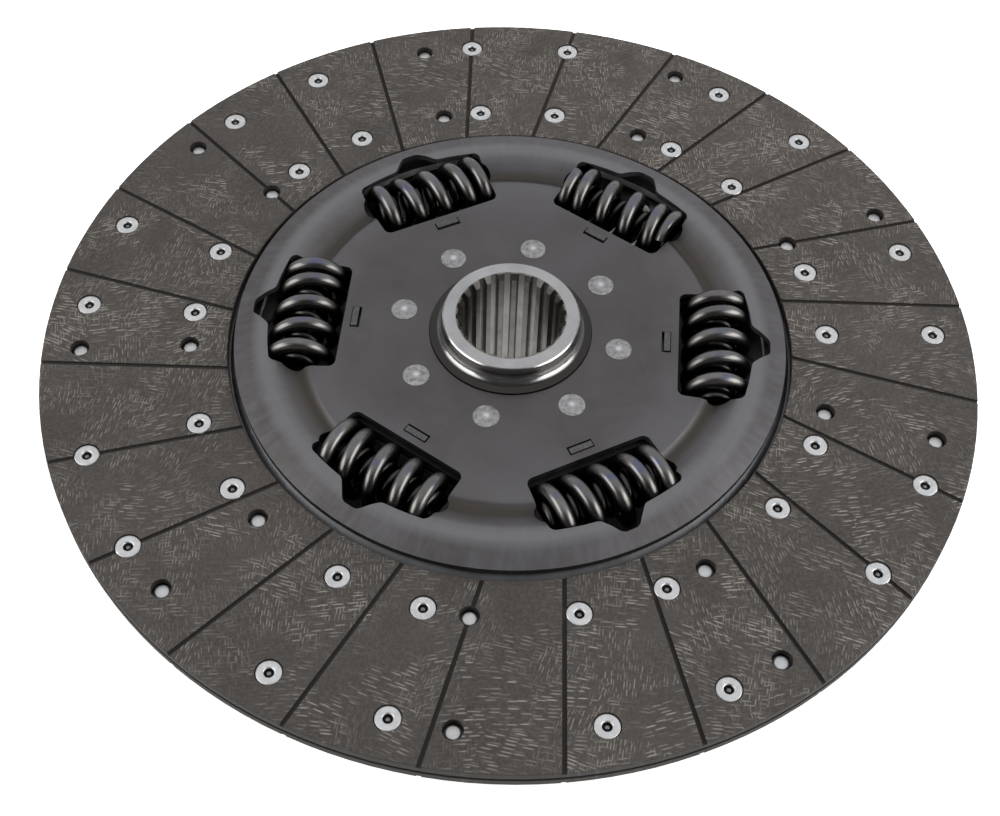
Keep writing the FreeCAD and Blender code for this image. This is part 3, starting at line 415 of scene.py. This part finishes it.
drive_sheet = steel("drive_sheet", (0.035, 0.034, 0.034), (0.06, 0.058, 0.058), (0.45, 0.6), 30.0, metallic=0.6)
spring_sheet = steel("spring_sheet", (0.12, 0.12, 0.12), (0.2, 0.2, 0.21), (0.35, 0.5), 30.0)
rivet_steel = steel("rivet_steel", (0.38, 0.375, 0.37), (0.56, 0.55, 0.54), (0.34, 0.48), 280.0, relief=0.4)
lug_steel = steel("stamped_steel", (0.10, 0.095, 0.09), (0.21, 0.204, 0.2), (0.4, 0.6), 700.0, relief=0.8)
oiled_wire = steel("oiled_wire", (0.16, 0.152, 0.145), (0.26, 0.25, 0.24), (0.26, 0.36), 60.0, marks=0.15,
                   relief=0.05)
moulding = steel("friction_moulding", (0.02, 0.02, 0.02), (0.04, 0.04, 0.04), (0.6, 0.8), 60.0, metallic=0.0)
print("steels made")

# %% [markdown]
# ## Tints, painted shade and painted highlights
#
# A finish isn't the same all over its piece. The drive plate's upright edges far from the shaft, the outer edges of its
# windows, are painted near white: partly their bare punched steel, partly a painted reflection; the direction of the
# surface finds them. The springs' crowns are tinted blue in patches, and down in the window the springs are painted
# black, a painted shade; their height tells the one from the other. The middle of a rivet's head carries a painted
# highlight; how far a place is from the rivet's own axis is written on the rivet's mesh. Each of these lays one more
# colour over a finished material.

# %% Overlays
def lay_over(material, share, colour):
    """Blends the base colour of a finished material to another colour by a share."""
    tree = material.node_tree
    base = tree.nodes["Principled BSDF"].inputs["Base Color"]
    tree.links.new(blend_colours(tree, share, base.links[0].from_socket, colour), base)


# Painted reflection: upright edges beyond 104 mm are painted near white, partly their bare punched steel.
tree = drive_sheet.node_tree
normal = add_node(tree, "ShaderNodeNewGeometry").outputs["Normal"]
faces = add_node(tree, "ShaderNodeSeparateXYZ", [("Vector", normal)])
upright = spread(tree, calculate(tree, "ABSOLUTE", faces.outputs["Z"]), 0.5, 0.2)
radius = place_group(tree, polar, [("Vector", own_place(tree))]).outputs["Radius"]
lay_over(drive_sheet, calculate(tree, "MULTIPLY", upright, spread(tree, radius, 104 * MM, 108 * MM)), (0.9, 0.9, 0.9))

tree = oiled_wire.node_tree
depth = own_depth(tree)
tinge = place_group(tree, clouds, [("Vector", own_place(tree))], Cloud_Scale=110.0)
# The crowns, farthest from the middle plane, are tinted blue in patches.
crown = calculate(tree, "MULTIPLY", spread(tree, depth, 14.6 * MM, 16.0 * MM),
                  spread(tree, tinge.outputs["Clouds"], 0.45, 0.9))
lay_over(oiled_wire, crown, (0.15, 0.16, 0.25))
# Painted shade: down in the window, towards the middle plane, the wire is painted near black.
lay_over(oiled_wire, spread(tree, depth, 13.5 * MM, 7.0 * MM), (0.02, 0.018, 0.017))

tree = rivet_steel.node_tree
from_axis = add_node(tree, "ShaderNodeAttribute", attribute_name="from_axis").outputs["Fac"]
blots = place_group(tree, clouds, [("Vector", own_place(tree))], Cloud_Scale=520.0)
blot = calculate(tree, "MULTIPLY", spread(tree, blots.outputs["Clouds"], 0.35, 0.9),
                 spread(tree, from_axis, 1.5 * MM, 3.0 * MM))
lay_over(rivet_steel, blot, (0.26, 0.255, 0.25))
# Painted highlight: the middle of each head, near its axis, is painted near white.
lay_over(rivet_steel, hump(tree, from_axis, 0.01 * MM, 0.02 * MM, 0.4 * MM, 1.9 * MM), (0.8, 0.8, 0.8))
print("laid over", drive_sheet.name, oiled_wire.name, rivet_steel.name)

# %% [markdown]
# ## Zinc-plated facing rivets
#
# The rivets are zinc plated and pale, but the hollow of their heads and the band under the flange are painted dark, a
# painted shade. The height of a place tells flange from hollow, so one material can hold both.

# %% Rivet material
zinc, tree, shader = new_finish("zinc_plate", Metallic=0.9)
own = own_place(tree)
tone = place_group(tree, clouds, [("Vector", own)], Cloud_Scale=350.0, Grain_Scale=1500.0)
height = place_group(tree, polar, [("Vector", own)]).outputs["Height"]
plated = blend_colours(tree, tone.outputs["Clouds"], (0.66, 0.655, 0.645), (0.82, 0.82, 0.81))
# Painted shade: the hollow of the head and the band under the flange are painted nearly black.
shaded_hollow = hump(tree, height, 53.6 * MM, 53.9 * MM, 54.65 * MM, 55.05 * MM)
tree.links.new(blend_colours(tree, shaded_hollow, plated, (0.03, 0.028, 0.026)), shader.inputs["Base Color"])
tree.links.new(spread(tree, tone.outputs["Clouds"], 0, 1, 0.36, 0.5), shader.inputs["Roughness"])
raise_relief(tree, shader, tone.outputs["Grain"], 0.2, 0.0001)
print("material", zinc.name)

# %% [markdown]
# ## Pressed cover plates
#
# The covers are drawn from sheet and phosphated: a dark satin grey that is bluish in one place and brownish in the
# next. The crest of the bead, and a little also the rim of the flat, are painted lighter, a painted highlight, and the
# valley between them is painted dark brown, a painted shade. All three lie on circles, so humps over the distance from
# the shaft give them. Faint wiping marks run outwards across the bead: a noise in polar coordinates, fine in angle and
# slow in radius.

# %% Phosphate material
phosphate, tree, shader = new_finish("phosphated_sheet", Metallic=0.9)
own = own_place(tree)
place = place_group(tree, polar, [("Vector", own)])
radius = place.outputs["Radius"]
tone = place_group(tree, clouds, [("Vector", own)], Cloud_Scale=26.0, Grain_Scale=1300.0)
broad = place_group(tree, clouds, [("Vector", own)], Cloud_Scale=9.0, Grain_Scale=300.0)
wiped = add_node(tree, "ShaderNodeCombineXYZ", [
    ("X", calculate(tree, "MULTIPLY", place.outputs["Angle"], 34.0)),
    ("Y", calculate(tree, "MULTIPLY", radius, 90.0)),
])
wipes = add_node(tree, "ShaderNodeTexNoise", [("Vector", wiped.outputs["Vector"])], Scale=1.0, Detail=4.0,
                 Distortion=0.5)

crest = hump(tree, radius, 105 * MM, 112.5 * MM, 115 * MM, 120 * MM)
valley = hump(tree, radius, 94.5 * MM, 97.5 * MM, 99.5 * MM, 104 * MM)
flat_rim = calculate(tree, "MULTIPLY", hump(tree, radius, 74 * MM, 90 * MM, 93.5 * MM, 96 * MM), 0.3)
streak = calculate(tree, "MULTIPLY", spread(tree, wipes.outputs["Fac"], 0.4, 0.8),
                   spread(tree, radius, 104 * MM, 110 * MM, 0.0, 0.24))
warm = blend_colours(tree, tone.outputs["Clouds"], (0.098, 0.089, 0.082), (0.134, 0.126, 0.121))
cool = blend_colours(tree, tone.outputs["Clouds"], (0.128, 0.121, 0.121), (0.166, 0.158, 0.168))
sheet = blend_colours(tree, broad.outputs["Clouds"], warm, cool)
# Painted highlight on the crest and the rim of the flat; painted shade in the valley.
painted_highlight_sheet = blend_colours(tree, calculate(tree, "MAXIMUM", crest, flat_rim), sheet, (0.218, 0.211, 0.216))
painted_valley_shade = blend_colours(tree, valley, painted_highlight_sheet, (0.078, 0.068, 0.058))
wiped_sheet = blend_colours(tree, streak, painted_valley_shade, (0.27, 0.27, 0.29))
one_way = place_group(tree, scratches, [("Vector", own)], Turn=0.9, Along=120.0, Across=1800.0, Amount=0.16)
other_way = place_group(tree, scratches, [("Vector", own)], Turn=2.4, Along=90.0, Across=2100.0, Amount=0.12)
lined = calculate(tree, "MAXIMUM", one_way.outputs["Mask"], other_way.outputs["Mask"])
tree.links.new(blend_colours(tree, lined, wiped_sheet, (0.26, 0.255, 0.25)), shader.inputs["Base Color"])
tree.links.new(spread(tree, tone.outputs["Clouds"], 0, 1, 0.36, 0.5), shader.inputs["Roughness"])
raise_relief(tree, shader, tone.outputs["Grain"], 0.12, 0.0001)
print("material", phosphate.name)

# %% [markdown]
# ## Turned hub
#
# The hub is forged and turned. Its end face is cut dull, the flare below it is smooth and mirrors the lamps, the rim
# of the flare is painted nearly black, a painted shade, and the broached spline inside is brownish and oily. Height and
# radius tell the zones apart, and fine rings from the lathe run round the axis.

# %% Hub material
turned_steel, tree, shader = new_finish("turned_steel", Metallic=1.0)
own = own_place(tree)
place = place_group(tree, polar, [("Vector", own)])
tone = place_group(tree, clouds, [("Vector", own)], Cloud_Scale=70.0, Grain_Scale=1600.0)
end_face = spread(tree, place.outputs["Height"], 69.4 * MM, 69.9 * MM)
bore = spread(tree, place.outputs["Radius"], 25.7 * MM, 25.3 * MM)
rings = add_node(tree, "ShaderNodeTexNoise", [("W", calculate(tree, "MULTIPLY", place.outputs["Radius"], 2600.0))],
                 noise_dimensions="1D", Scale=1.0, Detail=2.0)
outer = blend_colours(tree, tone.outputs["Clouds"], (0.47, 0.465, 0.46), (0.60, 0.595, 0.59))
inner = blend_colours(tree, tone.outputs["Clouds"], (0.17, 0.16, 0.15), (0.31, 0.30, 0.285))
# Painted shade: the rim of the flare is painted nearly black.
scale = calculate(tree, "MULTIPLY", spread(tree, place.outputs["Radius"], 32.6 * MM, 34.2 * MM),
                  spread(tree, place.outputs["Height"], 50 * MM, 55 * MM))
cleaned = blend_colours(tree, bore, outer, inner)
tree.links.new(blend_colours(tree, scale, cleaned, (0.06, 0.056, 0.052)), shader.inputs["Base Color"])
smooth = spread(tree, tone.outputs["Clouds"], 0, 1, 0.17, 0.27)
dull = calculate(tree, "MAXIMUM", calculate(tree, "MULTIPLY", end_face, 0.5), calculate(tree, "MULTIPLY", bore, 0.34))
tree.links.new(calculate(tree, "MAXIMUM", smooth, dull), shader.inputs["Roughness"])
cut = calculate(tree, "MULTIPLY", rings.outputs["Fac"], calculate(tree, "MULTIPLY_ADD", end_face, 0.5, 0.15))
raise_relief(tree, shader, calculate(tree, "MULTIPLY_ADD", tone.outputs["Grain"], 0.2, cut), 0.15, 0.0001)
print("material", turned_steel.name)

# %% [markdown]
# ## Dressing the solids
#
# Every node of the CAD model gets the finish of its piece. The twelve springs aren't listed by name: whatever the list
# leaves out gets the finish of the wire.

# %% Dress the CAD solids
FINISHES = {
    "hub": turned_steel,
    "hub_rivets": rivet_steel,
    "front_cover_plate": phosphate,
    "rear_cover_plate": phosphate,
    "drive_plate": drive_sheet,
    "cushion_disc": spring_sheet,
    "cushion_rivets": rivet_steel,
    "front_facing": lining,
    "rear_facing": lining,
    "front_facing_rivets": zinc,
    "rear_facing_rivets": rivet_steel,
    "front_friction_washer": moulding,
    "front_pressure_ring": lug_steel,
    "disc_spring": spring_sheet,
    "rear_friction_ring": moulding,
}
for name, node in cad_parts.items():
    node.data.materials.clear()
    node.data.materials.append(FINISHES.get(name, oiled_wire))
print("dressed", len(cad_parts), "nodes")

# %% [markdown]
# ## Smooth turned and pressed pieces
#
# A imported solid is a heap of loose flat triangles, and on the rounds of the hub and the covers they show as facets.
# Turning these profiles again would lose the spline and the windows. A copy keeps them: its triangles are merged at
# their corners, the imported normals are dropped, and every edge flatter than a set angle is shaded smooth.

# %% Smooth copies
def smooth_copy(name, body, flattest):
    """Copies a node, merges the copy's doubled corners and shades smooth across edges below the angle."""
    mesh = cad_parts[name].data.copy()
    mesh.name = f"smooth_{name}"
    work = bmesh.new()
    work.from_mesh(mesh)
    bmesh.ops.remove_doubles(work, verts=work.verts, dist=1e-6)
    work.to_mesh(mesh)
    work.free()
    if "custom_normal" in mesh.attributes:
        mesh.attributes.remove(mesh.attributes["custom_normal"])
    mesh.polygons.foreach_set("use_smooth", np.ones(len(mesh.polygons), bool))
    mesh.set_sharp_from_angle(angle=math.radians(flattest))
    copy = bpy.data.objects.new(f"smooth_{name}", mesh)
    scene.collection.objects.link(copy)
    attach(copy, body)
    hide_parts(name)
    return copy


for name, angle in (("hub", 20.0), ("front_cover_plate", 28.0), ("rear_cover_plate", 28.0)):
    print(name, len(smooth_copy(name, "hub_side", angle).data.polygons), "faces")

# %% [markdown]
# ## A surface from a grid of points
#
# Springs and rivet heads are tubes: rows of points follow one another, and each row is a closed ring. The helper below
# joins such rows to a mesh, with a fan over each end, for one tube or for many in one piece.

# %% Tubes
def tube_object(name, points, material):
    """Closed tubes from an array (tubes, rows, columns, 3): rows along a tube, columns round it, fans at its ends."""
    tubes, rows, columns = points.shape[:3]
    count = rows * columns
    ends = points[:, [0, -1]].mean(axis=2)
    here = np.arange(count).reshape(rows, columns)
    beside = np.roll(here, -1, axis=1)
    sides = np.stack([here[:-1], beside[:-1], beside[1:], here[1:]], axis=-1).reshape(-1, 4)
    first = np.stack([np.full(columns, count), beside[0], here[0]], axis=-1)
    last = np.stack([np.full(columns, count + 1), here[-1], beside[-1]], axis=-1)
    shift = np.arange(tubes)[:, None, None] * (count + 2)
    quads = (sides + shift).reshape(-1, 4)
    fans = (np.concatenate([first, last]) + shift).reshape(-1, 3)
    corners = np.concatenate([points.reshape(tubes, count, 3), ends], axis=1).reshape(-1, 3)
    mesh = bpy.data.meshes.new(name)
    mesh.from_pydata(corners.tolist(), [], quads.tolist() + fans.tolist())
    mesh.polygons.foreach_set("use_smooth", np.ones(len(mesh.polygons), bool))
    mesh.set_sharp_from_angle(angle=math.radians(50.0))
    mesh.materials.append(material)
    made = bpy.data.objects.new(name, mesh)
    scene.collection.objects.link(made)
    return made


print("tubes ready")

# %% [markdown]
# ## Rivets
#
# Every rivet is a surface of revolution: a profile turned about the rivet's own axis. Eight rivets clamp the covers on
# the hub's flange; their heads are pressed to low domes, whose small dimple catches the lamps. The front facing hangs
# on tubular rivets, bright rings with a hollow middle. Those of the rear facing show their closed ends at the bottom of
# plain holes. A few more profile points than the solid has give their edges the small rounds of a pressed head.

# %% Turned pieces
def turned_pieces(name, profile, centres, material):
    """One surface of revolution at each centre: a profile of radii and heights in millimetres, from the front pole to
    the rear pole, turned about the vertical line through the centre. Each point keeps its radius as a value."""
    radii, heights = np.asarray(profile).T * MM
    around = np.linspace(0, -2 * np.pi, 36, endpoint=False)
    shape = np.stack([
        radii[:, None] * np.cos(around),
        radii[:, None] * np.sin(around),
        MIDDLE + heights[:, None] + 0 * around,
    ], axis=-1)
    made = tube_object(name, shape[None] + centres[:, None, None], material)
    from_axis = np.concatenate([np.repeat(radii, len(around)), radii[[0, -1]]])
    values = made.data.attributes.new("from_axis", "FLOAT", "POINT")
    values.data.foreach_set("value", np.tile(from_axis, len(centres)))
    return made


def ring_of_places(radius, first, step, count):
    """Points at even angles on a circle about the shaft, in the plane z = 0."""
    angle = np.radians(first + step * np.arange(count))
    return radius * MM * np.stack([np.cos(angle), np.sin(angle), 0 * angle], axis=-1)


head, shank, face, rise, dimple = 6.0, 4.7, 8.2, 0.8, 0.42
reach = np.concatenate([[0.05], np.linspace(0.25, head, 24)])
dome = face + 0.15 + rise * (1 - (reach / head) ** 2) - dimple * np.exp(-(reach / 0.85) ** 2)
front_head = np.stack([reach, dome], axis=-1)
stem = np.array([[head, face], [shank, face], [shank, -face], [head, -face]])
domed = np.concatenate([front_head, stem, (front_head * [1, -1])[::-1]])
ringed = [
    (0.05, 3.8), (0.8, 3.74), (1.15, 3.4), (1.7, 3.1), (2.05, 3.4), (2.1, 4.2), (2.35, 4.5), (2.7, 4.6), (4.8, 4.6),
    (5.25, 4.5), (5.5, 4.2), (5.5, 3.4), (2.6, 3.4), (2.6, 0.1), (3.9, 0.1), (3.9, -0.5), (3.6, -0.8), (3.1, -0.9),
    (2.4, -0.8), (1.9, -0.4), (1.8, 0.6), (0.05, 0.6),
]
closed = [
    (0.05, 2.5), (2.5, 2.5), (3.0, 2.38), (3.3, 2.0), (3.3, -0.1), (2.6, -0.1), (2.6, -3.4), (5.5, -3.4), (5.5, -4.2),
    (5.25, -4.5), (4.8, -4.6), (0.05, -4.6),
]

FACING_CIRCLES, FIRST_LAND, PAD_STEP, PADS = (148.0, 198.0), 2.85, 40.0, 9
seats = [ring_of_places(radius, FIRST_LAND + land, PAD_STEP, PADS) for radius in FACING_CIRCLES for land in (0.0, 15.0)]
holes = [ring_of_places(radius, FIRST_LAND + 22.5, PAD_STEP, PADS) for radius in FACING_CIRCLES]
for name, profile, centres, material, body, slot in (
    ("hub_rivets", domed, ring_of_places(50.8, 34.5, 45.0, 8), rivet_steel, "hub_side", "rivet_steel"),
    ("front_facing_rivets", ringed, np.concatenate(seats), zinc, "facing_side", "facing_rivet"),
    ("rear_facing_rivets", closed, np.concatenate(holes), zinc, "facing_side", "facing_rivet"),
):
    rivets = turned_pieces(f"turned_{name}", profile, centres, material)
    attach(rivets, body)
    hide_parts(name)
    print(name, len(centres))

# %% [markdown]
# ## Damper springs
#
# Each window holds two coil springs, one inside the other, wound to opposite hands so that they can't lock. A damper
# spring ends in a closed turn that is ground flat. Wound wire could be a bevelled curve, but a surface of two
# parameters can be ground too: the first runs along the wire, the second round its section, and whatever would stand
# past the end plane is pushed back onto it. The wire's thickness, the coil's mean radius and the pitch are in
# millimetres, and the hand is 1 or -1.

# %% The wire's surface
SPRING_HALF = 29.3 * MM
CLOSED_TURNS, CLOSED_GAP, GROUND_SHARE = 0.95, 0.25 * MM, 0.19
STEPS, SIDES = 72, 24


def wound_wire(wire, coil, pitch, hand, start):
    """Points of a ground spring along Y. The centre line is a circle of radius coil that rises by the pitch each turn,
    slower in the closed turns at both ends. Round each of its points stands a circle of the wire, square to the line.
    Past half of the length, points are pushed back to the end plane. The hand gives the way it winds, and the start is
    the angle of its first point."""
    foot = -SPRING_HALF + wire * GROUND_SHARE
    closed_rise = (wire + CLOSED_GAP) * CLOSED_TURNS
    turns = (-foot - closed_rise) * 2 / pitch + 2 * CLOSED_TURNS
    turn = np.linspace(0, turns, int(STEPS * turns) + 1)
    knots = np.array([0, CLOSED_TURNS, turns - CLOSED_TURNS, turns])
    rises = np.array([foot, foot + closed_rise, -foot - closed_rise, -foot])
    fine = np.interp(turn, knots, rises)
    ease = np.hanning(2 * (STEPS // 5) + 1)
    padded = np.pad(fine, len(ease) // 2, mode="reflect", reflect_type="odd")
    rise = np.convolve(padded, ease / ease.sum(), mode="valid")
    angle = start + hand * turn * 2 * np.pi
    outward = np.stack([np.cos(angle), np.zeros_like(angle), -np.sin(angle)], axis=-1)
    centre = outward * coil + np.stack([np.zeros_like(angle), rise, np.zeros_like(angle)], axis=-1)
    along = np.gradient(centre, axis=0)
    along /= np.linalg.norm(along, axis=1, keepdims=True)
    across = np.cross(along, outward)
    section = np.arange(SIDES) * 2 * np.pi / SIDES
    points = centre[:, None] + wire / 2 * (
        outward[:, None] * np.cos(section)[None, :, None] + across[:, None] * np.sin(section)[None, :, None])
    points[..., 1] = np.clip(points[..., 1], -SPRING_HALF, SPRING_HALF)
    return points


print("an outer spring has", wound_wire(6.4 * MM, 13 * MM, 13.4 * MM, 1, 0).shape, "points")

# %% Wind and place the springs
WINDOWS = np.radians(57.0 + 60.0 * np.arange(6))
STARTS = np.radians([225.0, 130.0, 148.0, 118.0, 5.0, 332.0])
SPRING_PLACE = 96 * MM
SPRINGS = {"outer": (6.4, 13.0, 13.4, 1), "inner": (4.2, 7.2, 6.4, -1)}


def stand_in_window(points, window):
    """Turns points from beside the axis to their window and lifts them to the disc's middle plane."""
    turn = np.array([[math.cos(window), -math.sin(window), 0], [math.sin(window), math.cos(window), 0], [0, 0, 1]])
    return (points + np.array([SPRING_PLACE, 0, MIDDLE])) @ turn.T


for number, (window, start) in enumerate(zip(WINDOWS, STARTS), 1):
    for family, (*sizes, hand) in SPRINGS.items():
        wire, coil, pitch = (size * MM for size in sizes)
        points = wound_wire(wire, coil, pitch, hand, start)
        name = f"{family}_spring_{number}"
        spring = tube_object(f"wound_{name}", stand_in_window(points, window)[None], oiled_wire)
        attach(spring, "hub_side")
        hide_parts(name)
        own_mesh(spring)
print("springs wound:", 2 * len(WINDOWS))

# %% [markdown]
# ## The end
#

# %% Finish
print("finished")
